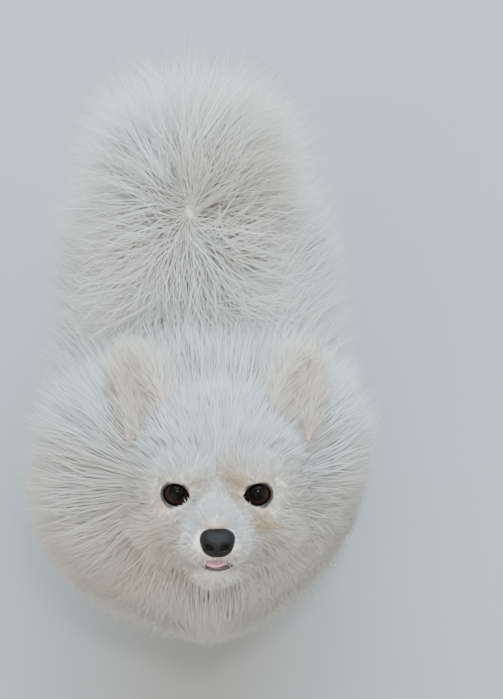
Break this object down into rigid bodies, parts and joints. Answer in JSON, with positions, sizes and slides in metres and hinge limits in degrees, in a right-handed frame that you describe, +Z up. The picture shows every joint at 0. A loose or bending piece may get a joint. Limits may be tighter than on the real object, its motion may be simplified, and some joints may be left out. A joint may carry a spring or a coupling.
{
  "type": "pomeranian dog",
  "caption": "Small fluffy spitz dog that stands square and looks up, with a full ruff, small ears and a plumed tail over the back, as a still life-size model.",
  "frame": {"origin": "on the floor, under the middle of the figure", "axes": "+Z up, the dog faces -Y, and its left side is +X"},
  "size_m": [0.2038, 0.334, 0.3145],
  "materials": {
    "coat": "long soft white to cream dog hair",
    "ear": "short apricot hair with pink skin inside the cup",
    "nose": "black moist nose leather",
    "eye": "near black wet eye",
    "tongue": "moist pink tongue"
  },
  "bodies": {
    "root": {"head": "coat", "neck": "coat", "chest": "coat", "loin": "coat", "rump": "coat", "tail": "coat", "foreleg_left": "coat", "foreleg_right": "coat", "hindleg_left": "coat", "hindleg_right": "coat", "forepaw_left": "coat", "forepaw_right": "coat", "hindpaw_left": "coat", "hindpaw_right": "coat", "ear_left": "ear", "ear_right": "ear", "eye_left": "eye", "eye_right": "eye", "nose": "nose", "tongue": "tongue"}
  },
  "joints": []
}
